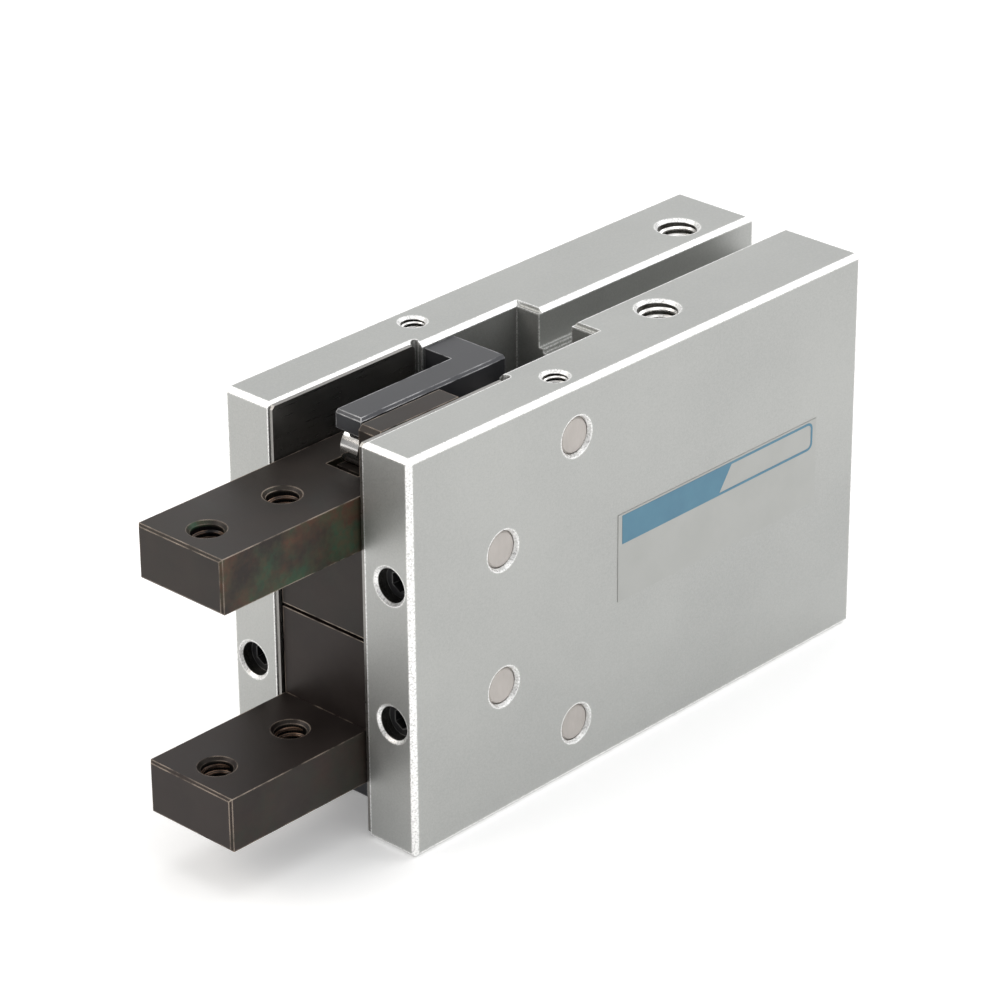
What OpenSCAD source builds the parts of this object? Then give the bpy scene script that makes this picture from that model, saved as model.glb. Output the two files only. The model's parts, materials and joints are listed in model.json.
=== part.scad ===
// Double-acting pneumatic gripper with two angular fingers.
// Frame: X runs from the rear face to the finger tips, Z is the opening direction, Y runs across.
// The origin is the centre of the rear mounting face. The fingers are drawn closed.

/* [Body] */
// Length of the body along X
body_len = 68.5; // [66:0.5:72]
// Width of the body along Y
body_w = 25.5; // [25:0.5:30]
// Height of the body along Z
body_h = 44; // [44:0.5:48]
// Chamfer on the outer edges
edge = 0.45; // [0.2:0.05:0.6]
// Half width of the front pocket that holds the liners
pocket_half = 6.5; // [6.4:0.05:6.6]
// Length of the front pocket
pocket_len = 20.5; // [20:0.1:21]
// Half width of the crosshead slot behind the pocket
slot_half = 5.35; // [5.35:0.05:5.5]
// Distance from the front face to the rear wall of the slot
slot_len = 34.5; // [34:0.1:35]
// Half width of the sensor grooves
groove_half = 2.26; // [2:0.01:2.4]
// Depth of the sensor grooves
groove_depth = 4.2; // [3.5:0.1:4.6]

/* [Cylinder] */
// Bore radius
bore_r = 8; // [8:0.1:8.4]
// Rod radius
rod_r = 3.5; // [3:0.1:3.6]
// Piston travel from closed to open
stroke = 8; // [7:0.5:8]

/* [Fingers] */
// Half width of a finger
finger_half = 5.8; // [5.6:0.05:5.85]
// Distance from the front face to the finger tips
reach = 18.2; // [14:0.1:24]
// Height of the inner face of a finger arm above the centre plane
arm_low = 10.05; // [9.5:0.05:10.5]
// Height of the outer face of a finger arm above the centre plane
arm_high = 15.95; // [15.5:0.05:16]
// Opening angle of one finger
open_angle = 30; // [20:1:30]
// Gap between the closed fingers at the centre plane
split_gap = 0.4; // [0.2:0.05:0.6]
// Distance between the two tapped holes of a finger
finger_hole_pitch = 10; // [9:0.5:11]

/* [Pins] */
// Radius of the pivot pins and of the guide pins
pin_r = 2; // [2:0.05:2]
// Distance of the pivot pins behind the front face
pivot_back = 13; // [13:0.05:13]
// Height of the pivot pins above the centre plane
pivot_z = 7.65; // [7.65:0.05:7.65]
// Distance of the guide pins behind the front face
guide_back = 23.75; // [23.75:0.05:23.75]
// Height of the guide pins above the centre plane
guide_z = 16.3; // [16.3:0.05:16.3]

/* [Hidden] */
$fn = 64;

eps = 0.01;
// Running gap between a shaft and its hole, on the radius
run = 0.05;
// Gap between a sliding face and its guide
slide_gap = 0.1;

front_x = body_len;
slot_x = body_len - slot_len;
pocket_x = body_len - pocket_len;
pivot_x = body_len - pivot_back;
guide_x = body_len - guide_back;

// Relief groove in the rear corners of the pocket
corner_relief_r = 0.4;

// Liners
liner_t = 0.5;
liner_inset = 0.25;

// Name label: near and far end behind the front face, lower and upper edge, thickness
label_back = [30, 61.6];
label_z = [-4.7, 5.2];
label_t = 0.06;

// Tapped holes, as tap drill radii and countersink radii
m3_r = 1.25;
m3_sink = 1.55;
m4_r = 1.65;
m4_sink = 2.1;
finger_sink = 2;
m4_body_r = 2;
m5_r = 2.1;
m5_sink = 2.45;
// Holes for the set screws that lock the pivot pins, at the mean radius of an M4 thread
front_hole_r = 1.8;
// Depth of the pivot set screws below the front face
pivot_screw_recess = 1.45;
guide_screw_len = 2;
// Depth of the pin ends below the sides of the body
pin_recess = 0.3;
front_hole_y = 9.85;
rear_hole_y = 9.5;
rear_hole_z = 11.5;
rear_hole_depth = 7;
port_y = 6.35;
port_depth = 6;
port_passage_r = 1.25;
// Distances of the rear and the front port behind the front face
port_back = [60.8, 43.1];
port_xs = [for (back = port_back) body_len - back];

// Cylinder chamber
cap_rear = 1.7;
cap_front = 6;
bore_end = slot_x - 7;
seal_pocket_r = 6;
seal_pocket_len = 2.4;
bush_r = 4.75;
ring_groove_r = 8.6;

// Piston at the closed end of its travel
piston_front = bore_end - 1.5;
piston_len = 10;
piston_rear = piston_front - piston_len;
piston_r = bore_r - slide_gap;
bumper_t = 1.2;

// Rollers that carry the stroke to the fingers
roller_x = front_x - 7.07;
roller_z = 17;
roller_r = 2.1;
cam_roller_r = 1.9;
axle_r = 1.2;
cam_steps = 10;

// Crosshead
head_top = 21.4;
head_rear = body_len - 25;
head_front = body_len - 20.8;
// Far and near side of the stem
stem_y = [-1.6, 1.9];
stem_bevel = 0.3;
stem_front = body_len - 4.5;
stem_low = roller_z + roller_r + slide_gap;
lug_y = [0.9, 2.4];
hub_half_z = 5;
hub_front = head_rear + 5;
guide_slot_r = pin_r + 0.08;
guide_stop_x = guide_x + stroke + pin_r + 0.2;
tine_low = 12.9;

// Finger sections, from the far side to the near side of the upper finger
cam_bed_y = [-1.8, 2.64];
ear_y = [2.64, 5.3];
boss_r = 5.5;
web_front = front_x - 0.5;
ear_rear = body_len - 15.2;
ear_front = body_len - 3.4;
ledge_x = pivot_x + 8.3;
bed_front = pivot_x + 9.8;
finger_round = 0.25;

function turn(p, a) = [p.x * cos(a) - p.y * sin(a), p.x * sin(a) + p.y * cos(a)];
// Centre of the rollers in the upper finger's own frame, at the share t of the stroke
function cam_point(t) =
    [pivot_x, pivot_z] + turn([roller_x - t * stroke - pivot_x, roller_z - pivot_z], -t * open_angle);

// ---------- shapes shared by several pieces ----------

module along_x(r, x0, x1) translate([x0, 0, 0]) rotate([0, 90, 0]) cylinder(r = r, h = x1 - x0);
module cone_x(r0, r1, x0, x1) translate([x0, 0, 0]) rotate([0, 90, 0])
    cylinder(r1 = r0, r2 = r1, h = x1 - x0);
module along_y(r, x, z, y0, y1) translate([x, y1, z]) rotate([90, 0, 0]) cylinder(r = r, h = y1 - y0);
module ring_x(r_in, r_out, x0, x1) difference() {
    along_x(r_out, x0, x1);
    along_x(r_in, x0 - 1, x1 + 1);
}
// Block from corner a to corner b
module block(a, b) translate(a) cube(b - a);
// Plate with an outline in X and Z, from y0 to y1
module plate(y0, y1) translate([0, y1, 0]) rotate([90, 0, 0]) linear_extrude(y1 - y0) children();
// The shape drawn for the upper side, repeated on the lower side by a half turn about X
module both_sides() {
    children();
    rotate([180, 0, 0]) children();
}
// Tapped hole with a countersink, mouth at the origin, going down -Z
module tapped(r, sink, depth) {
    translate([0, 0, -depth]) cylinder(r = r, h = depth + eps);
    translate([0, 0, r - sink]) cylinder(r1 = r, r2 = sink, h = sink - r);
    translate([0, 0, -eps]) cylinder(r = sink, h = 1);
}
// Rectangle with its corners cut off
module cut_rect(a, b, c) polygon([
    [a.x + c, a.y], [b.x - c, a.y], [b.x, a.y + c], [b.x, b.y - c],
    [b.x - c, b.y], [a.x + c, b.y], [a.x, b.y - c], [a.x, a.y + c]
]);
// Bar along X with all its edges chamfered
module bar(x0, x1, w, h, c) intersection() {
    translate([x0, 0, 0]) rotate([90, 0, 90]) linear_extrude(x1 - x0)
        cut_rect([-w / 2, -h / 2], [w / 2, h / 2], c);
    translate([0, 0, -h / 2]) linear_extrude(h) cut_rect([x0, -w / 2], [x1, w / 2], c);
    plate(-w / 2, w / 2) cut_rect([x0, -h / 2], [x1, h / 2], c);
}
// V-shaped chamfer along the mouth of a slot on the top face
module mouth(x0, x1, half, c) translate([x0, 0, body_h / 2 - c]) rotate([90, 0, 90])
    linear_extrude(x1 - x0)
        polygon([[-half, 0], [half, 0], [half + c + eps, c + eps], [-half - c - eps, c + eps]]);

// ---------- body ----------

module groove() {
    block([-1, -groove_half, body_h / 2 - groove_depth], [slot_x + 1, groove_half, body_h]);
    block([-1, -groove_half + 0.6, body_h / 2 - groove_depth - 0.45],
          [slot_x + 1, groove_half - 0.6, body_h / 2 - groove_depth + 1]);
    mouth(-1, slot_x + 1, groove_half, edge);
}

module front_slot() {
    block([pocket_x, -pocket_half, -body_h], [front_x + 1, pocket_half, body_h]);
    block([slot_x, -slot_half, -body_h], [front_x, slot_half, body_h]);
    for (side = [-1, 1]) translate([pocket_x + 0.1, side * (pocket_half - 0.15), -body_h])
        cylinder(r = corner_relief_r, h = 2 * body_h);
    both_sides() {
        mouth(pocket_x, front_x + 1, pocket_half, 0.3);
        mouth(slot_x - edge, pocket_x + eps, slot_half, edge);
    }
}

module pin_holes() both_sides() {
    for (spot = [[pivot_x, pivot_z], [guide_x, guide_z]]) {
        along_y(pin_r, spot.x, spot.y, -body_w, body_w);
        for (side = [-1, 1]) translate([spot.x, side * body_w / 2, spot.y]) rotate([90 * side, 0, 0])
            translate([0, 0, -0.3]) cylinder(r1 = pin_r + 0.4, r2 = pin_r, h = 0.7);
    }
    for (side = [-1, 1]) {
        translate([front_x, side * front_hole_y, pivot_z]) rotate([0, 90, 0])
            tapped(front_hole_r, m4_sink, pivot_back - pin_r / 2);
        translate([guide_x, side * front_hole_y, body_h / 2]) tapped(m3_r, m3_sink, body_h / 2 - guide_z);
    }
}

module ports() for (i = [0, 1]) translate([port_xs[i], (2 * i - 1) * port_y, body_h / 2]) {
    tapped(m5_r, m5_sink, port_depth);
    translate([0, 0, 4.5 - body_h / 2]) cylinder(r = port_passage_r, h = body_h / 2 - 5);
}

module cylinder_chamber() {
    along_x(bore_r, -1, bore_end);
    cone_x(bore_r + 0.6, bore_r, -0.1, 0.5);
    ring_x(bore_r - 1, ring_groove_r, 0.85, cap_rear + 0.02);
    along_x(seal_pocket_r, bore_end - eps, bore_end + seal_pocket_len);
    along_x(bush_r, bore_end + seal_pocket_len - eps, slot_x + 1);
}

module rear_holes() for (y = [-1, 1], z = [-1, 1])
    translate([0, y * rear_hole_y, z * rear_hole_z]) rotate([0, -90, 0])
        tapped(m4_r, m4_sink, rear_hole_depth);

module body() color("silver") difference() {
    bar(0, body_len, body_w, body_h, edge);
    front_slot();
    both_sides() groove();
    pin_holes();
    ports();
    cylinder_chamber();
    rear_holes();
}

// ---------- liners and pins ----------

module liner(side) color("gainsboro") difference() {
    plate(side > 0 ? pocket_half - liner_t : -pocket_half, side > 0 ? pocket_half : liner_t - pocket_half)
        cut_rect([pocket_x + 0.4, liner_inset - body_h / 2],
                 [front_x - 0.15, body_h / 2 - liner_inset], 0.35);
    for (z = [-1, 1]) along_y(pin_r, pivot_x, z * pivot_z, -body_w, body_w);
}
module liner_left() liner(1);
module liner_right() liner(-1);

module cross_pin(x, z) color("gray") difference() {
    along_y(pin_r, x, z, pin_recess - body_w / 2, body_w / 2 - pin_recess);
    for (side = [-1, 1]) translate([x, side * (body_w / 2 - pin_recess), z]) rotate([90 * side, 0, 0])
        difference() {
            translate([0, 0, -0.1]) cylinder(r = pin_r + 1, h = 0.4);
            translate([0, 0, -0.2]) cylinder(r1 = pin_r - 0.45, r2 = pin_r + 0.15, h = 0.6);
        }
}
module pivot_pin_upper() cross_pin(pivot_x, pivot_z);
module pivot_pin_lower() cross_pin(pivot_x, -pivot_z);
module guide_pin_upper() cross_pin(guide_x, guide_z);
module guide_pin_lower() cross_pin(guide_x, -guide_z);

// Socket set screw along -Z from the origin
module set_screw(r, len, key) difference() {
    union() {
        translate([0, 0, -len]) cylinder(r1 = r - 0.3, r2 = r, h = 0.3);
        translate([0, 0, 0.3 - len]) cylinder(r = r, h = len - 0.3);
    }
    translate([0, 0, -len * 0.55]) cylinder(r = key / sqrt(3), h = len, $fn = 6);
}
module pivot_set_screws() color("dimgray") for (y = [-1, 1], z = [-1, 1])
    translate([front_x - pivot_screw_recess, y * front_hole_y, z * pivot_z]) rotate([0, 90, 0])
        set_screw(front_hole_r, pivot_back - pin_r - pivot_screw_recess, 2);
module guide_set_screws() color("dimgray") for (y = [-1, 1], z = [-1, 1])
    translate([guide_x, y * front_hole_y, z * (guide_z + pin_r + guide_screw_len)])
        rotate([z > 0 ? 0 : 180, 0, 0]) set_screw(m3_r, guide_screw_len, 1.5);

// ---------- fingers ----------

module root_outline() {
    translate([pivot_x, pivot_z]) circle(r = boss_r);
    polygon([
        [pivot_x, split_gap / 2], [web_front, split_gap / 2], [web_front, arm_low],
        [front_x + reach - finger_round, arm_low], [front_x + reach, arm_low + finger_round],
        [front_x + reach, arm_high - finger_round], [front_x + reach - finger_round, arm_high],
        [pivot_x + 3.6, arm_high], [pivot_x - 1.2, pivot_z + 5.3], [pivot_x - 4, pivot_z]
    ]);
}
module bed_outline() {
    translate([pivot_x, pivot_z]) circle(r = boss_r - 0.5);
    polygon([
        [pivot_x, split_gap / 2], [web_front, split_gap / 2], [web_front, arm_low],
        [front_x + reach - finger_round, arm_low], [front_x + reach, arm_low + finger_round],
        [front_x + reach, arm_high - finger_round], [front_x + reach - finger_round, arm_high],
        [bed_front, arm_high], [bed_front, arm_high - 3.2], [ledge_x, arm_high - 3.2],
        [ledge_x, pivot_z + 7.6], [pivot_x + 1.9, pivot_z + 7.6], [pivot_x + 1.9, pivot_z + 4.2],
        [pivot_x - 3.5, pivot_z]
    ]);
}
module ear_outline() {
    root_outline();
    polygon([
        [pivot_x - 4.2, pivot_z + 2.6], [ear_rear, head_top - 0.5], [ear_rear + 0.5, head_top],
        [ear_front - 0.5, head_top], [ear_front, head_top - 0.5], [ear_front, arm_low]
    ]);
}

module finger() color([0.24, 0.2, 0.19]) difference() {
    intersection() {
        union() {
            plate(-finger_half, cam_bed_y[0]) root_outline();
            plate(cam_bed_y[0], cam_bed_y[1]) bed_outline();
            plate(ear_y[0], ear_y[1]) ear_outline();
            plate(ear_y[1], finger_half) root_outline();
        }
        translate([0, 0, -body_h]) linear_extrude(2 * body_h)
            cut_rect([slot_x, -finger_half], [front_x + reach, finger_half], finger_round);
    }
    along_y(pin_r + run, pivot_x, pivot_z, -body_w, body_w);
    for (i = [0 : cam_steps]) {
        spot = cam_point(i / cam_steps);
        along_y(roller_r + slide_gap, spot.x, spot.y, cam_bed_y[0] - eps, cam_bed_y[1]);
        along_y(cam_roller_r + run, spot.x, spot.y, 0, ear_y[1] + eps);
    }
    for (i = [0, 1]) translate([front_x + 4.5 + i * finger_hole_pitch, 0, arm_high]) {
        tapped(m4_r, finger_sink, arm_high - arm_low + 1);
        translate([0, 0, arm_low - arm_high]) rotate([180, 0, 0]) tapped(m4_r, finger_sink, 1);
    }
}
module finger_upper() finger();
module finger_lower() rotate([180, 0, 0]) finger();

// ---------- crosshead and rollers ----------

module prong_outline() {
    difference() {
        polygon([
            [head_rear, 0], [hub_front, 0], [hub_front, hub_half_z], [pivot_x - 6, hub_half_z + 1.2],
            [pivot_x - 6, 10.4], [pivot_x - 3.6, tine_low], [guide_stop_x + 2, tine_low],
            [guide_stop_x + 2, stem_low - 0.6], [guide_stop_x + 2.6, stem_low], [stem_front - 0.3, stem_low],
            [stem_front, stem_low + 0.3], [stem_front, head_top - 0.3], [stem_front - 0.3, head_top],
            [head_rear, head_top]
        ]);
        translate([guide_stop_x - guide_slot_r, guide_z]) circle(r = guide_slot_r);
        polygon([
            [head_rear - 1, guide_z - guide_slot_r], [guide_stop_x - guide_slot_r, guide_z - guide_slot_r],
            [guide_stop_x - guide_slot_r, guide_z + guide_slot_r], [head_rear - 1, guide_z + guide_slot_r]
        ]);
    }
}
module prong() {
    difference() {
        plate(stem_y[0], stem_y[1]) prong_outline();
        // bevel along the near top edge of the stem
        translate([head_rear - 1, stem_y[1] - stem_bevel, head_top]) rotate([45, 0, 0])
            block([0, 0, -1], [stem_front - head_rear + 2, 1, 1]);
    }
    block([head_rear, 0.05 - slot_half, guide_z + guide_slot_r], [head_front, stem_y[0], head_top]);
    difference() {
        plate(lug_y[0], lug_y[1]) {
            translate([roller_x, roller_z]) circle(r = cam_roller_r - 0.05);
            translate([roller_x - cam_roller_r + 0.05, roller_z])
                square([2 * cam_roller_r - 0.1, stem_low + 0.6 - roller_z]);
        }
        along_y(axle_r, roller_x, roller_z, -1, 4);
    }
}
module crosshead() color([0.27, 0.27, 0.28]) difference() {
    union() {
        both_sides() prong();
        block([head_rear, 0.05 - slot_half, -hub_half_z], [hub_front, slot_half - 0.05, hub_half_z]);
    }
    along_x(m4_body_r, head_rear - 1, hub_front + 1);
}

module axle() color("gray") along_y(axle_r, roller_x, roller_z, stem_y[0] + 0.1, ear_y[1] - 0.1);
module axle_upper() axle();
module axle_lower() rotate([180, 0, 0]) axle();

module roller_body(r, y0, y1) color("whitesmoke") difference() {
    along_y(r, roller_x, roller_z, y0, y1);
    along_y(axle_r + run, roller_x, roller_z, -9, 9);
}
module roller_upper() roller_body(roller_r, stem_y[0], lug_y[0] - slide_gap);
module roller_lower() rotate([180, 0, 0]) roller_upper();
module cam_roller_upper() roller_body(cam_roller_r, ear_y[0] + slide_gap, ear_y[1] - slide_gap);
module cam_roller_lower() rotate([180, 0, 0]) cam_roller_upper();

module crosshead_screw() color("dimgray") difference() {
    union() {
        along_x(m4_body_r, head_rear - 6, hub_front);
        along_x(3, hub_front, hub_front + 2.2);
    }
    translate([hub_front + 0.8, 0, 0]) rotate([0, 90, 0]) cylinder(r = 3 / sqrt(3), h = 2, $fn = 6);
}

// ---------- piston group ----------

module piston_rod() color("lightgray") difference() {
    union() {
        along_x(rod_r, piston_rear + 7, head_rear);
        along_x(2.5, piston_rear + 2.2, piston_rear + 7);
    }
    along_x(m4_body_r, head_rear - 6.5, head_rear + 1);
}
module piston() color("lightsteelblue") difference() {
    along_x(piston_r, piston_rear, piston_front);
    along_x(rod_r, piston_rear + 7, piston_front + 1);
    along_x(2.5, piston_rear + 4, piston_rear + 8);
    along_x(4.2, piston_rear - 1, piston_rear + 5.2);
    ring_x(6.1, bore_r + 1, piston_rear + 1, piston_rear + 3);
    ring_x(6.1, bore_r + 1, piston_rear + 4, piston_rear + 6);
    ring_x(6.8, bore_r + 1, piston_rear + 7, piston_rear + 9);
}
module piston_nut() color("gray") difference() {
    translate([piston_rear + 2.6, 0, 0]) rotate([0, 90, 0]) cylinder(r = 4, h = 2.6, $fn = 6);
    along_x(2.5, piston_rear, piston_rear + 6);
}
module magnet_ring() color("black") ring_x(6.1, 7.7, piston_rear + 1, piston_rear + 3);
module piston_seal() color("dimgray") ring_x(6.1, bore_r - 0.02, piston_rear + 4.2, piston_rear + 5.8);
module wear_ring() color("ivory") ring_x(6.8, bore_r - 0.04, piston_rear + 7, piston_rear + 9);
module front_bumper() color("darkorange") ring_x(rod_r + 0.8, 6.6, piston_front, piston_front + bumper_t);
module rear_bumper() color("darkorange") ring_x(4.6, 7, piston_rear - bumper_t, piston_rear);

module rod_seal() color("black")
    ring_x(rod_r + 0.03, seal_pocket_r, bore_end + 0.5, bore_end + seal_pocket_len);
module rod_seal_washer() color("lightgray") ring_x(rod_r + 0.2, seal_pocket_r, bore_end, bore_end + 0.5);
module rod_bush() color("peru") ring_x(rod_r + run, bush_r, bore_end + seal_pocket_len, slot_x);

module end_cap() color("silver") difference() {
    along_x(bore_r, cap_rear, cap_front);
    ring_x(bore_r - 1.3, bore_r + 1, 3.1, 4.7);
    along_x(4.5, cap_front - 1.2, cap_front + 1);
    for (a = [0, 180]) rotate([a, 0, 0]) translate([0, 4.4, 0]) along_x(0.8, cap_rear - 1, cap_rear + 1.6);
}
module cap_o_ring() color("black") ring_x(bore_r - 1.3, bore_r, 3.15, 4.65);
module retaining_ring() color("dimgray") difference() {
    union() {
        ring_x(bore_r - 0.9, ring_groove_r, 0.9, cap_rear);
        for (side = [-1, 1]) translate([0, side * 2.7, 1 - bore_r]) intersection() {
            along_x(1.35, 0.9, cap_rear);
            block([0, -2, -0.6], [3, 2, 3]);
        }
    }
    block([0, -1.4, -bore_r - 2], [3, 1.4, -4]);
    for (side = [-1, 1]) translate([0, side * 2.75, 1.3 - bore_r]) along_x(0.55, 0, 3);
}

module name_label() color("steelblue") block(
    [body_len - label_back[1], body_w / 2, label_z[0]],
    [body_len - label_back[0], body_w / 2 + label_t, label_z[1]]);

body();
liner_left();
liner_right();
finger_upper();
finger_lower();
pivot_pin_upper();
pivot_pin_lower();
guide_pin_upper();
guide_pin_lower();
pivot_set_screws();
guide_set_screws();
crosshead();
roller_upper();
roller_lower();
cam_roller_upper();
cam_roller_lower();
axle_upper();
axle_lower();
crosshead_screw();
piston_rod();
piston();
piston_nut();
piston_seal();
magnet_ring();
wear_ring();
front_bumper();
rear_bumper();
rod_seal();
rod_bush();
rod_seal_washer();
end_cap();
cap_o_ring();
retaining_ring();
name_label();
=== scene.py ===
"""The look of a pneumatic gripper: materials, threads, label print, floor, lights and camera."""

import json
import math
from collections import namedtuple
from functools import reduce

import bmesh
import bpy
from mathutils import Matrix, Vector


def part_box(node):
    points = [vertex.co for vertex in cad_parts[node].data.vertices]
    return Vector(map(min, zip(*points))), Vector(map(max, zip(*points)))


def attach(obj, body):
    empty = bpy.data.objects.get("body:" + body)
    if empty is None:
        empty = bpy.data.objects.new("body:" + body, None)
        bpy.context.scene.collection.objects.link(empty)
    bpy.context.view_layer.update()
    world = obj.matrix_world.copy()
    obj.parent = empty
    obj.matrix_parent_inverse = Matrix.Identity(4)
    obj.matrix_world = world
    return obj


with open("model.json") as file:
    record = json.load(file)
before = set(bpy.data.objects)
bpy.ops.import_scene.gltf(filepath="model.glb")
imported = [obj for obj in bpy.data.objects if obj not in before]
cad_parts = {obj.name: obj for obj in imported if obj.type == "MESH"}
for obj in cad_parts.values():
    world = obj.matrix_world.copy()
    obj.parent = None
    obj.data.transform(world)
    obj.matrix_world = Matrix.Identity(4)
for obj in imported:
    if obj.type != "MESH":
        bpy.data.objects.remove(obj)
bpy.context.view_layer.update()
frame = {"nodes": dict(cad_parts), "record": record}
nodes = frame["nodes"]

MM = 0.001

# Places on the object at rest, in millimetres. X runs from the rear face to the fingers, Z is up and the
# label is on the +Y side.
FRONT_X, HALF_Y, HALF_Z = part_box("body")[1] / MM
PIVOT = Vector((FRONT_X - 13, 0, 7.65))
GUIDE = Vector((FRONT_X - 23.75, 0, 16.3))
SIDE_HOLE_Y = 9.85
ARM_LOW, ARM_HIGH = 10.05, 15.95
PORTS = [(FRONT_X - 60.8, -6.35), (FRONT_X - 43.1, 6.35)]
REAR_HOLES = [(y, z) for y in (-9.5, 9.5) for z in (-11.5, 11.5)]
FINGER_HOLES_X = [FRONT_X + 4.5, FRONT_X + 14.5]
PORT_R = 2.1
GUIDE_HOLE_R = 1.25
FRONT_HOLE_R = 1.8
REAR_HOLE_R = 1.65
FINGER_HOLE_R = 1.65

# Where the painted shade on each hole's wall starts and ends along the hole, in millimetres
PORT_SPAN = (HALF_Z - 6.1, HALF_Z - 0.3)
GUIDE_SPAN = (GUIDE.z, HALF_Z - 0.25)
FRONT_SPAN = (PIVOT.x, FRONT_X - 0.25)
REAR_SPAN = (0.35, 7.1)
FINGER_SPAN = (ARM_LOW + 0.5, ARM_HIGH - 0.5)
# How far past the wall a hole's mask reaches, and over what length it fades in at the ends
MASK_MARGIN = 0.03
MASK_FADE = 0.05

# Threads, in millimetres. sunk is how far below the face a thread starts.
Thread = namedtuple("Thread", "wall_r sunk depth pitch")
PORT_THREAD = Thread(PORT_R, 0.25, 5.2, 0.8)
GUIDE_THREAD = Thread(GUIDE_HOLE_R, 0.2, 1.4, 0.5)
REAR_THREAD = Thread(REAR_HOLE_R, 0.3, 6.0, 0.7)
FINGER_THREAD = Thread(FINGER_HOLE_R, 0.45, 5.0, 0.7)
# Corners in each turn, and how deep the ridge's root is in the wall, in millimetres
THREAD_STEPS = 36
THREAD_EMBED = 0.02
# The ridge's height and the half widths of its root and crest, as shares of the pitch
RIDGE_HEIGHT = 0.275
ROOT_HALF = 0.34
CREST_HALF = 0.07
# The ridge grows over this many turns at its start, and shrinks to this share of its height at its end
FADE_TURNS = 0.4
FADE_LEAST = 0.05

# The label's print, in millimetres
PRINT_FRONT = FRONT_X - 30.6
PRINT_REAR = FRONT_X - 61.0
SOLID_REAR_HIGH = FRONT_X - 47.9
SOLID_REAR_LOW = FRONT_X - 45.6
PRINT_LOW, PRINT_HIGH = 1.75, 5.0
PRINT_BACK_Y = HALF_Y + 0.05
PRINT_FACE_Y = HALF_Y + 0.075
FRAME_FACE_Y = PRINT_FACE_Y + 0.003
FRAME_LINE = 0.28
FRAME_OUTER_R, FRAME_INNER_R = 0.8, 0.55
CORNER_STEPS = 6

# The floor and the lights' aim, in metres
FLOOR_SIZE = 3.0
FLOOR_X = 0.04
FLOOR_GAP = 0.0001
LIGHT_AIM = (0.043, 0, 0)
WORLD_STRENGTH = 0.5
# Each light's name, place, width and height in metres, watts and tint
LIGHTS = [
    ("top_softbox", (0.0, 0.0, 0.9), (0.8, 0.8), 3.0, (1, 1, 1)),
    ("left_softbox", (0.60, -0.30, 0.45), (0.35, 0.35), 1.0, (1, 0.93, 0.84)),
    ("right_softbox", (0.0, 0.75, 0.45), (0.4, 0.4), 0.6, (1, 1, 1)),
    ("rear_strip", (-0.50, 0.36, 0.52), (0.6, 0.25), 1.3, (1, 1, 1)),
    ("front_strip", (0.40, -0.46, 0.52), (0.4, 0.16), 0.8, (1, 0.97, 0.93)),
    ("back_panel", (-0.62, -0.58, 0.42), (0.8, 0.6), 1.2, (1, 1, 1)),
]

# The camera, in millimetres. It stands back from a point on the front face, and moves over by the aim.
CAMERA_AZIMUTH = math.radians(133.372)
CAMERA_ELEVATION = math.radians(26.397)
CAMERA_ROLL = math.radians(-0.413)
CAMERA_DISTANCE = 408.10
CAMERA_POINT = Vector((FRONT_X, 0.27, 0))
AIM_RIGHT, AIM_UP = 17.64, 12.36
SENSOR_WIDTH = 36.0
FOCAL_LENGTH = 148.4


# ---------- node graph helper ----------


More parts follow.
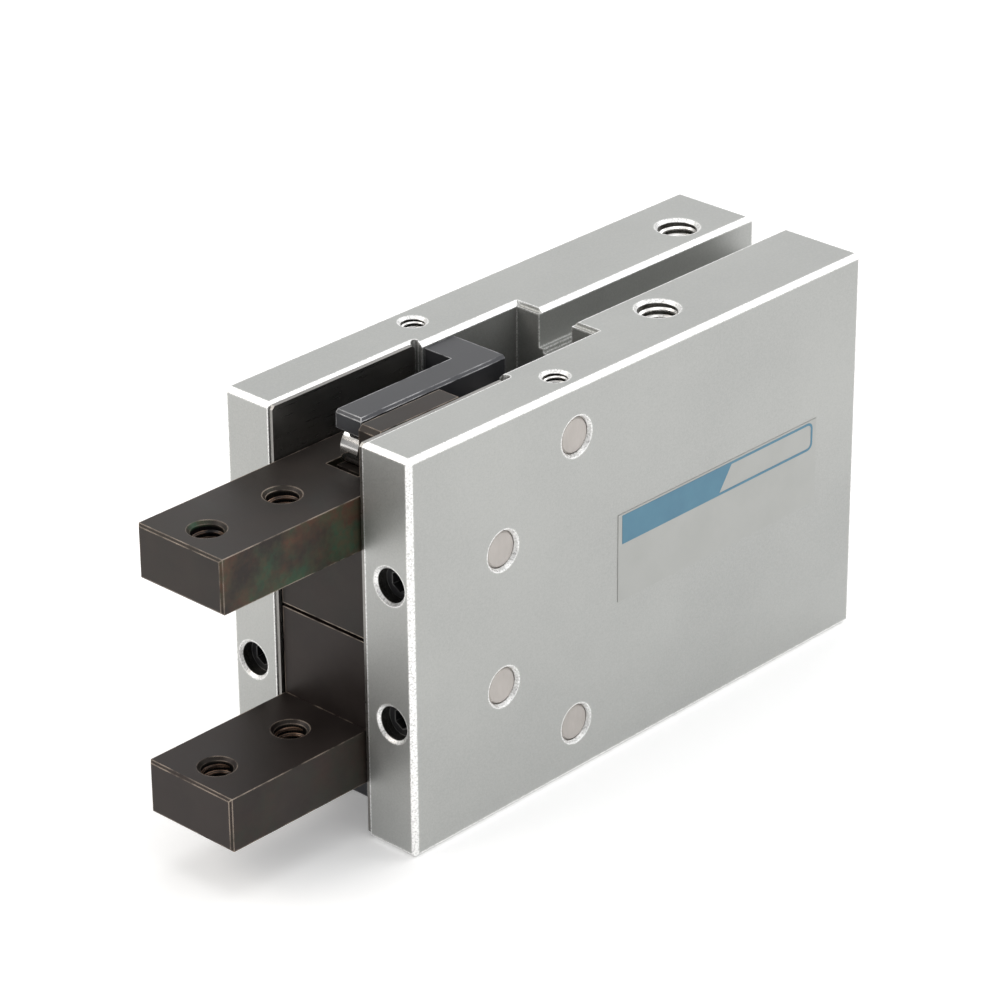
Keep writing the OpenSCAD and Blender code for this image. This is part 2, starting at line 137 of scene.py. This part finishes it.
class Graph:
    """Short names for building one material's nodes."""

    # A Mix node has inputs and outputs for every kind of data, and these are the ones for colours
    MIX_A, MIX_B, MIX_OUT = 6, 7, 2

    def __init__(self, name):
        self.material = bpy.data.materials.new(name)
        self.material.use_nodes = True
        self.tree = self.material.node_tree
        self.shader = self.tree.nodes["Principled BSDF"]
        self.place = self.add("ShaderNodeTexCoord").outputs["Object"]

    def add(self, kind, **settings):
        node = self.tree.nodes.new(kind)
        for key, value in settings.items():
            setattr(node, key, value)
        return node

    def put(self, socket, value):
        """Sets a socket to another node's output, a colour without its alpha, or a plain value."""
        if isinstance(value, bpy.types.NodeSocket):
            self.tree.links.new(value, socket)
        elif socket.type == "RGBA":
            socket.default_value = (*value, 1)
        else:
            socket.default_value = value

    def stretched(self, scale):
        """Object coordinates, scaled differently along each axis."""
        mapping = self.add("ShaderNodeMapping")
        self.put(mapping.inputs["Vector"], self.place)
        self.put(mapping.inputs["Scale"], scale)
        return mapping.outputs["Vector"]

    def noise(self, scale, detail, rough=0.55, place=None):
        """Noise whose features are about 1/scale metres across."""
        texture = self.add("ShaderNodeTexNoise")
        self.put(texture.inputs["Vector"], place or self.place)
        self.put(texture.inputs["Scale"], scale)
        self.put(texture.inputs["Detail"], detail)
        self.put(texture.inputs["Roughness"], rough)
        return texture.outputs["Fac"]

    def ramp(self, value, low, high, to_low=0.0, to_high=1.0):
        """value from low..high mapped to to_low..to_high, clamped."""
        node = self.add("ShaderNodeMapRange")
        names = ("Value", "From Min", "From Max", "To Min", "To Max")
        for name, setting in zip(names, (value, low, high, to_low, to_high)):
            self.put(node.inputs[name], setting)
        return node.outputs["Result"]

    def math(self, operation, a, b=0.0):
        node = self.add("ShaderNodeMath", operation=operation)
        self.put(node.inputs[0], a)
        self.put(node.inputs[1], b)
        return node.outputs["Value"]

    def largest(self, values):
        return reduce(lambda a, b: self.math("MAXIMUM", a, b), values)

    def mix(self, share, a, b):
        """Colour a where share is 0, colour b where share is 1."""
        node = self.add("ShaderNodeMix", data_type="RGBA")
        self.put(node.inputs["Factor"], share)
        self.put(node.inputs[self.MIX_A], a)
        self.put(node.inputs[self.MIX_B], b)
        return node.outputs[self.MIX_OUT]

    def split(self, vector):
        node = self.add("ShaderNodeSeparateXYZ")
        self.put(node.inputs["Vector"], vector)
        return node.outputs

    def true_normal(self):
        return self.add("ShaderNodeNewGeometry").outputs["True Normal"]

    def edges(self, radius, low, high):
        """1 near a sharp edge and 0 on flat faces, from how far a rounded normal turns from the true one.
        low and high are the cosines of that turn that give 1 and 0."""
        bevel = self.add("ShaderNodeBevel", samples=8)
        self.put(bevel.inputs["Radius"], radius)
        dot = self.add("ShaderNodeVectorMath", operation="DOT_PRODUCT")
        self.put(dot.inputs[0], bevel.outputs["Normal"])
        self.put(dot.inputs[1], self.true_normal())
        return self.ramp(dot.outputs["Value"], high, low)

    def tilted(self):
        """1 on faces that lie along none of the axes, which on a square block are its chamfers and sinks."""
        sizes = [self.math("ABSOLUTE", part) for part in self.split(self.true_normal())]
        return self.ramp(self.largest(sizes), 0.93, 0.80)

    def facing_y(self, least):
        """1 on faces that look along Y either way, and least on the rest. A turn about Y leaves it alone."""
        normal = self.split(self.true_normal())
        return self.ramp(self.math("ABSOLUTE", normal["Y"]), 0.3, 0.8, least, 1.0)

    def near_axis(self, along, across, radius, span, mirrored=True):
        """1 inside a hole that runs along one axis (0, 1 or 2), in mm: across is its centre on the other two
        axes and span its two ends. mirrored takes in its images across the centre planes too."""
        place = list(self.split(self.place))
        if mirrored:
            place = [self.math("ABSOLUTE", part) for part in place]
        others = [part for axis, part in enumerate(place) if axis != along]
        squares = [self.math("POWER", self.math("SUBTRACT", part, centre * MM), 2.0)
                   for part, centre in zip(others, across)]
        distance = self.math("SQRT", self.math("ADD", *squares))
        inside = self.ramp(distance, (radius + 2 * MASK_MARGIN) * MM, (radius + MASK_MARGIN) * MM)
        for end, inward in zip(span, (MASK_FADE, -MASK_FADE)):
            inside = self.math("MULTIPLY", inside, self.ramp(place[along], end * MM, (end + inward) * MM))
        return inside

    def bump(self, height, distance, strength):
        node = self.add("ShaderNodeBump")
        self.put(node.inputs["Height"], height)
        self.put(node.inputs["Distance"], distance)
        self.put(node.inputs["Strength"], strength)
        return node.outputs["Normal"]

    def finish(self, color, metallic, roughness, normal=None):
        self.put(self.shader.inputs["Base Color"], color)
        self.put(self.shader.inputs["Metallic"], metallic)
        self.put(self.shader.inputs["Roughness"], roughness)
        if normal is not None:
            self.put(self.shader.inputs["Normal"], normal)
        return self.material


# ---------- materials ----------


def anodised_body():
    """Bead-blasted clear anodising with a sparkling grain, chamfers part bare metal and part painted
    highlight, painted shade in holes.
    """
    dull, pale = (0.385, 0.391, 0.380), (0.42, 0.426, 0.412)
    sparkle, pit = (0.56, 0.565, 0.55), (0.34, 0.345, 0.34)
    # Chamfer and edge colours: bare cut aluminium, brightened further by a painted highlight
    cut_and_sheen_dull, cut_and_sheen_bright = (0.62, 0.62, 0.61), (1.0, 1.0, 0.99)
    # Painted shade for the walls of the machined holes, and the holes that get it
    hole_shade = (0.10, 0.098, 0.09)
    holes = [
        (2, PORTS[0], PORT_R, PORT_SPAN, False),
        (2, PORTS[1], PORT_R, PORT_SPAN, False),
        (2, (GUIDE.x, SIDE_HOLE_Y), GUIDE_HOLE_R, GUIDE_SPAN),
        (0, (SIDE_HOLE_Y, PIVOT.z), FRONT_HOLE_R, FRONT_SPAN),
        (0, REAR_HOLES[3], REAR_HOLE_R, REAR_SPAN),
    ]
    g = Graph("anodised_body")
    grain = g.noise(5200, 2)
    speck = g.noise(9000, 1)
    cloud = g.noise(60, 3)
    color = g.mix(g.ramp(cloud, 0.35, 0.65), dull, pale)
    color = g.mix(g.ramp(grain, 0.3, 0.7, 0.0, 0.45), color, sparkle)
    color = g.mix(g.ramp(speck, 0.62, 0.72, 0.0, 0.5), color, pit)
    # Chamfers, sinks and sharp edges turn lighter: partly bare cut aluminium, partly a painted highlight.
    cut = g.largest([g.tilted(), g.edges(0.0003, 0.985, 0.9995)])
    color = g.mix(cut, color, g.mix(g.ramp(grain, 0.34, 0.54), cut_and_sheen_dull, cut_and_sheen_bright))
    # Painted shade inside the holes: their walls are darkened, and also made smoother.
    machined_and_painted_shade = g.largest([g.near_axis(*hole) for hole in holes])
    color = g.mix(machined_and_painted_shade, color, hole_shade)
    rough = g.ramp(grain, 0.3, 0.7, 0.40, 0.54)
    smooth = g.ramp(machined_and_painted_shade, 0.0, 1.0, 1.0, 0.45)
    return g.finish(color, 0.85, g.math("MULTIPLY", rough, smooth), g.bump(grain, 0.00001, 0.45))


def worn_black(name, dark, light, edge_color, gloss, stain_share=0.0):
    """Blackened steel: uneven oxide, fine grinding lines, thin bare edges, heat tints on the sides by
    stain_share. Painted shade darkens the walls of the finger holes and the threads in them."""
    brown, green, straw = (0.095, 0.045, 0.028), (0.030, 0.072, 0.040), (0.066, 0.060, 0.032)
    # Painted shade for the walls of the finger holes
    hole_shade = (0.006, 0.005, 0.005)
    g = Graph(name)
    cloud = g.noise(140, 4)
    lines = g.noise(1.0, 2, place=g.stretched((180, 9000, 2600)))
    worn = g.math("MULTIPLY", g.edges(0.00018, 0.97, 0.9995), g.ramp(g.noise(420, 3), 0.35, 0.6))
    color = g.mix(g.ramp(cloud, 0.35, 0.65), dark, light)
    if stain_share > 0:
        stain = g.ramp(g.noise(150, 5, 0.65), 0.36, 0.56, 0.0, stain_share)
        stain = g.math("MULTIPLY", stain, g.facing_y(0.04))
        tint = g.mix(g.ramp(g.noise(260, 4, 0.7), 0.40, 0.60), brown, green)
        tint = g.mix(g.ramp(g.noise(900, 3), 0.45, 0.7, 0.0, 0.6), tint, straw)
        color = g.mix(stain, color, tint)
    # Painted shade in the finger holes, which also falls on the threads inside them
    for x in FINGER_HOLES_X:
        color = g.mix(g.near_axis(2, (x, 0), FINGER_HOLE_R, FINGER_SPAN), color, hole_shade)
    color = g.mix(worn, color, edge_color)
    rough = g.ramp(cloud, 0.3, 0.7, gloss, gloss + 0.12)
    g.put(g.shader.inputs["Specular IOR Level"], 0.3)
    return g.finish(color, 0.45, rough, g.bump(lines, 0.000006, 0.3))


def ground_steel(name, tone, roughness, line_scale, depth=0.000004):
    """Bright metal with fine lines and faint smudges. The lines run along the axis where line_scale is
    smallest, and become grains where it is the same along all three."""
    g = Graph(name)
    lines = g.noise(1.0, 3, place=g.stretched(line_scale))
    smudge = g.noise(160, 3)
    color = g.mix(g.ramp(smudge, 0.35, 0.65), tuple(0.88 * c for c in tone), tone)
    rough = g.ramp(lines, 0.3, 0.7, roughness, roughness + 0.12)
    return g.finish(color, 0.95, rough, g.bump(lines, depth, 0.5))


def moulded(name, tone, roughness, grain_scale=2200, metallic=0.0):
    """Rubber or plastic with a fine moulded grain."""
    g = Graph(name)
    grain = g.noise(grain_scale, 2)
    cloud = g.noise(120, 2)
    color = g.mix(g.ramp(cloud, 0.35, 0.65), tuple(0.85 * c for c in tone), tone)
    rough = g.ramp(grain, 0.3, 0.7, roughness, roughness + 0.15)
    return g.finish(color, metallic, rough, g.bump(grain, 0.00001, 0.3))


def clear_film():
    """The label's nearly clear film, smoother than the body under it."""
    g = Graph("clear_film")
    smudge = g.noise(220, 3)
    color = g.mix(g.ramp(smudge, 0.35, 0.65), (0.385, 0.39, 0.375), (0.415, 0.42, 0.405))
    return g.finish(color, 0.6, g.ramp(smudge, 0.3, 0.7, 0.36, 0.44))


def printed_blue():
    """Faded blue ink."""
    g = Graph("printed_blue")
    fade = g.noise(340, 4)
    color = g.mix(g.ramp(fade, 0.3, 0.7), (0.055, 0.180, 0.270), (0.075, 0.215, 0.305))
    return g.finish(color, 0.0, g.ramp(fade, 0.3, 0.7, 0.34, 0.44))


def pale_floor():
    """A white floor with a faint glow of its own."""
    g = Graph("pale_floor")
    soft = g.noise(8, 2)
    color = g.mix(g.ramp(soft, 0.3, 0.7), (0.93, 0.93, 0.93), (0.95, 0.95, 0.95))
    g.put(g.shader.inputs["Emission Color"], (1, 1, 1))
    g.put(g.shader.inputs["Emission Strength"], 0.26)
    return g.finish(color, 0.0, g.ramp(soft, 0.3, 0.7, 0.78, 0.86))


FINISHES = {
    "anodised_body": anodised_body(),
    "liner_steel": ground_steel("liner_steel", (0.27, 0.262, 0.25), 0.26, (300, 2600, 4200)),
    "black_steel": worn_black(
        "black_steel", (0.022, 0.0165, 0.0150), (0.036, 0.028, 0.0255), (0.34, 0.28, 0.23), 0.40, 0.15),
    "crosshead_steel": worn_black(
        "crosshead_steel", (0.036, 0.037, 0.042), (0.058, 0.059, 0.064), (0.42, 0.42, 0.43), 0.30),
    "pin_steel": ground_steel("pin_steel", (0.50, 0.47, 0.445), 0.44, (3000, 3000, 900), 0.000006),
    "screw_steel": worn_black(
        "screw_steel", (0.028, 0.028, 0.030), (0.045, 0.045, 0.047), (0.25, 0.25, 0.25), 0.34),
    "roller_steel": ground_steel("roller_steel", (0.66, 0.65, 0.64), 0.12, (2600, 200, 2600)),
    "rod_steel": ground_steel("rod_steel", (0.62, 0.62, 0.62), 0.14, (260, 2400, 2400)),
    "piston_alloy": ground_steel("piston_alloy", (0.56, 0.56, 0.55), 0.3, (3800, 260, 260)),
    "seal_rubber": moulded("seal_rubber", (0.028, 0.028, 0.03), 0.55),
    "magnet": moulded("magnet", (0.05, 0.05, 0.055), 0.5, 3200, 0.3),
    "wear_plastic": moulded("wear_plastic", (0.62, 0.56, 0.44), 0.48),
    "bumper_urethane": moulded("bumper_urethane", (0.55, 0.24, 0.04), 0.42),
    "bronze": ground_steel("bronze", (0.55, 0.33, 0.16), 0.4, (2200, 2200, 2200)),
    "label_film": clear_film(),
}
BLUE_PRINT = printed_blue()
TINTED_STEEL = worn_black(
    "tinted_steel", (0.022, 0.0175, 0.0155), (0.036, 0.029, 0.0255), (0.34, 0.28, 0.23), 0.40, 0.9)
THREAD_ALLOY = ground_steel("thread_alloy", (0.86, 0.85, 0.83), 0.24, (2600, 2600, 2600))
# Threads of the finger holes; the painted shade in the holes darkens them too
THREAD_STEEL = worn_black(
    "thread_steel", (0.012, 0.009, 0.008), (0.040, 0.026, 0.019), (0.30, 0.19, 0.13), 0.30)


def dress_cad_nodes():
    for row in frame["record"]["subparts"]:
        piece = nodes[row["node"]]
        piece.data.materials.clear()
        tinted = row["node"] == "finger_upper"
        piece.data.materials.append(TINTED_STEEL if tinted else FINISHES[row["material_slot"]])


# ---------- extra pieces ----------


def new_piece(name, mesh, body, material):
    """Adds a mesh that moves with a body."""
    piece = bpy.data.objects.new(name, mesh)
    bpy.context.scene.collection.objects.link(piece)
    mesh.materials.append(material)
    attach(piece, body)


def bridge(bm, a, b):
    """Joins two loops of the same length with a ring of faces."""
    for k in range(len(a)):
        n = (k + 1) % len(a)
        bm.faces.new((a[k], a[n], b[n], b[k]))


def closed_mesh(name, bm):
    """Turns the faces of bm outwards, makes a mesh of it and frees it."""
    bmesh.ops.recalc_face_normals(bm, faces=bm.faces)
    mesh = bpy.data.meshes.new(name)
    bm.to_mesh(mesh)
    bm.free()
    return mesh


def add_thread(name, mouth, out, thread, body, slot, material):
    """A helical ridge inside a hole. mouth is the hole's centre at the face, and out points out of it."""
    wall_r, sunk, depth, pitch = thread
    out = Vector(out)
    start = Vector(mouth) - out * sunk
    across = out.orthogonal().normalized()
    other = out.cross(across)
    root_r = wall_r + THREAD_EMBED
    crest_r = wall_r - RIDGE_HEIGHT * pitch
    profile = [(root_r, -ROOT_HALF), (crest_r, -CREST_HALF), (crest_r, CREST_HALF), (root_r, ROOT_HALF)]
    steps = (depth - pitch) / pitch * THREAD_STEPS
    fade_steps = FADE_TURNS * THREAD_STEPS
    bm = bmesh.new()
    rings = []
    for i in range(int(steps) + 1):
        angle = 2 * math.pi * i / THREAD_STEPS
        outward = across * math.cos(angle) + other * math.sin(angle)
        fade = min(1.0, i / fade_steps, (steps - i) / fade_steps + FADE_LEAST)
        down = (0.5 + i / THREAD_STEPS) * pitch
        ring = []
        for radius, offset in profile:
            spot = start + outward * (root_r - (root_r - radius) * fade) - out * (down + offset * pitch)
            ring.append(bm.verts.new(spot * MM))
        rings.append(ring)
    for a, b in zip(rings, rings[1:]):
        bridge(bm, a, b)
    bm.faces.new(rings[0][::-1])
    bm.faces.new(rings[-1])
    new_piece(name, closed_mesh(name, bm), body, material)


def add_threads():
    """Threads in every tapped hole, each riding on the body that it is cut in."""
    in_housing = ("housing", "anodised_body", THREAD_ALLOY)
    for i, (x, y) in enumerate(PORTS):
        add_thread(f"port_thread_{i}", (x, y, HALF_Z), (0, 0, 1), PORT_THREAD, *in_housing)
    for side, hand in ((-1, "right"), (1, "left")):
        for up, level in ((-1, "lower"), (1, "upper")):
            mouth = (GUIDE.x, side * SIDE_HOLE_Y, up * HALF_Z)
            add_thread(f"guide_thread_{hand}_{level}", mouth, (0, 0, up), GUIDE_THREAD, *in_housing)
    for i, (y, z) in enumerate(REAR_HOLES):
        add_thread(f"rear_thread_{i}", (0, y, z), (-1, 0, 0), REAR_THREAD, *in_housing)
    for up, body in ((1, "finger_upper"), (-1, "finger_lower")):
        on_finger = (body, "black_steel", THREAD_STEEL)
        for i, x in enumerate(FINGER_HOLES_X):
            add_thread(f"{body}_thread_{i}", (x, 0, up * ARM_HIGH), (0, 0, up), FINGER_THREAD, *on_finger)


def loop_at(bm, outline, y):
    """An outline in X and Z as a loop of corners at y, in mm."""
    return [bm.verts.new((x * MM, y * MM, z * MM)) for x, z in outline]


def rounded(x0, x1, z0, z1, r):
    """Outline of a rectangle with round corners."""
    corners = ((x1 - r, z0 + r, -90), (x1 - r, z1 - r, 0), (x0 + r, z1 - r, 90), (x0 + r, z0 + r, 180))
    points = []
    for x, z, start in corners:
        for i in range(CORNER_STEPS + 1):
            angle = math.radians(start + 90 * i / CORNER_STEPS)
            points.append((x + r * math.cos(angle), z + r * math.sin(angle)))
    return points


def add_label_print():
    """The label's plain printed band: a solid blue end and a thin frame, with nothing written on it."""
    solid = [(PRINT_FRONT, PRINT_LOW), (PRINT_FRONT, PRINT_HIGH),
             (SOLID_REAR_HIGH, PRINT_HIGH), (SOLID_REAR_LOW, PRINT_LOW)]
    bm = bmesh.new()
    back, face = loop_at(bm, solid, PRINT_BACK_Y), loop_at(bm, solid, PRINT_FACE_Y)
    bridge(bm, back, face)
    bm.faces.new(back)
    bm.faces.new(face[::-1])
    new_piece("label_blue", closed_mesh("label_blue", bm), "housing", BLUE_PRINT)

    outer = rounded(PRINT_REAR, PRINT_FRONT, PRINT_LOW, PRINT_HIGH, FRAME_OUTER_R)
    inner = rounded(PRINT_REAR + FRAME_LINE, PRINT_FRONT - FRAME_LINE,
                    PRINT_LOW + FRAME_LINE, PRINT_HIGH - FRAME_LINE, FRAME_INNER_R)
    bm = bmesh.new()
    loops = [loop_at(bm, outer, PRINT_BACK_Y), loop_at(bm, outer, FRAME_FACE_Y),
             loop_at(bm, inner, FRAME_FACE_Y), loop_at(bm, inner, PRINT_BACK_Y)]
    for a, b in zip(loops, loops[1:] + loops[:1]):
        bridge(bm, a, b)
    new_piece("label_frame", closed_mesh("label_frame", bm), "housing", BLUE_PRINT)


# ---------- floor, lights and camera ----------


def add_floor():
    place = (FLOOR_X, 0, -HALF_Z * MM - FLOOR_GAP)
    bpy.ops.mesh.primitive_plane_add(size=FLOOR_SIZE, location=place)
    floor = bpy.context.object
    floor.name = "floor"
    floor.data.materials.append(pale_floor())


def add_lights():
    for name, place, size, watts, tint in LIGHTS:
        data = bpy.data.lights.new(name, "AREA")
        data.shape = "RECTANGLE"
        data.size, data.size_y = size
        data.energy = watts
        data.color = tint
        lamp = bpy.data.objects.new(name, data)
        lamp.location = place
        lamp.rotation_mode = "QUATERNION"
        lamp.rotation_quaternion = (Vector(LIGHT_AIM) - Vector(place)).to_track_quat("-Z", "Y")
        bpy.context.scene.collection.objects.link(lamp)
    world = bpy.data.worlds.new("studio")
    bpy.context.scene.world = world
    world.use_nodes = True
    background = world.node_tree.nodes["Background"]
    background.inputs["Color"].default_value = (1, 1, 1, 1)
    background.inputs["Strength"].default_value = WORLD_STRENGTH


def add_camera():
    back = Vector((math.sin(CAMERA_AZIMUTH) * math.cos(CAMERA_ELEVATION),
                   -math.cos(CAMERA_AZIMUTH) * math.cos(CAMERA_ELEVATION), math.sin(CAMERA_ELEVATION)))
    level = Vector((math.cos(CAMERA_AZIMUTH), math.sin(CAMERA_AZIMUTH), 0))
    upright = back.cross(level)
    right = level * math.cos(CAMERA_ROLL) + upright * math.sin(CAMERA_ROLL)
    up = upright * math.cos(CAMERA_ROLL) - level * math.sin(CAMERA_ROLL)
    place = back * CAMERA_DISTANCE + right * AIM_RIGHT + up * AIM_UP + CAMERA_POINT
    data = bpy.data.cameras.new("camera")
    data.sensor_width = SENSOR_WIDTH
    data.lens = FOCAL_LENGTH
    data.clip_start, data.clip_end = 0.01, 10.0
    camera = bpy.data.objects.new("camera", data)
    camera.matrix_world = Matrix.Translation(place * MM) @ Matrix((right, up, back)).transposed().to_4x4()
    bpy.context.scene.collection.objects.link(camera)
    bpy.context.scene.camera = camera


add_camera()
dress_cad_nodes()
add_threads()
add_label_print()
add_floor()
add_lights()
bpy.context.scene.view_settings.view_transform = "Standard"
